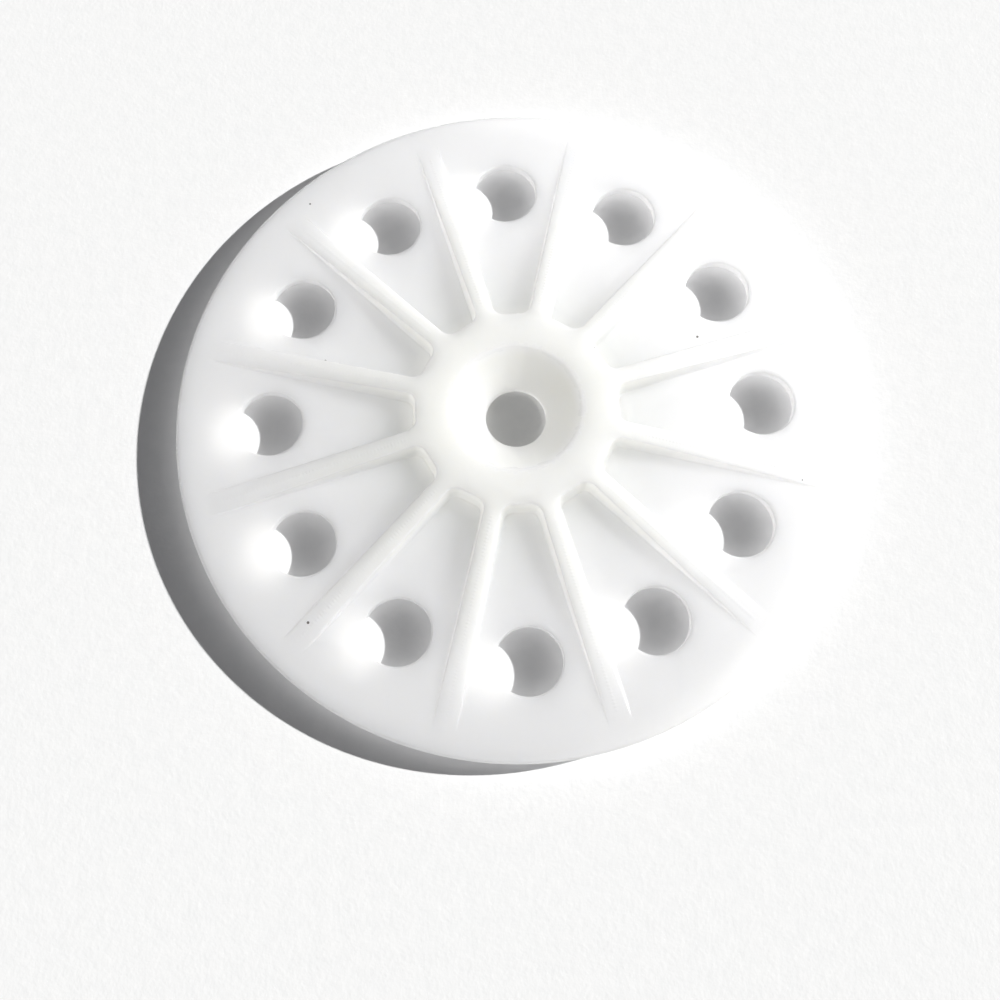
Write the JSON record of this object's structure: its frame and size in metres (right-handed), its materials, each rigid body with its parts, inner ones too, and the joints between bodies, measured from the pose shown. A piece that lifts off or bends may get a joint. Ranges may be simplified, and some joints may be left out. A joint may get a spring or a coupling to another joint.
{
  "type": "insulation retaining disc",
  "caption": "Thin round plastic disc with a raised countersunk hub, sloping radial ribs and a ring of open holes; a screw through it clamps a soft board to a wall.",
  "frame": {"origin": "centre of the flat foot under the hub, on the screw hole's axis", "axes": "+Z along the screw hole, out of the countersunk side; +X through the middle of one open hole"},
  "size_m": [0.06, 0.06, 0.0036],
  "materials": {
    "natural_polypropylene": "semi-gloss, translucent natural"
  },
  "bodies": {
    "root": {"retaining_disc": "natural_polypropylene"}
  },
  "joints": []
}
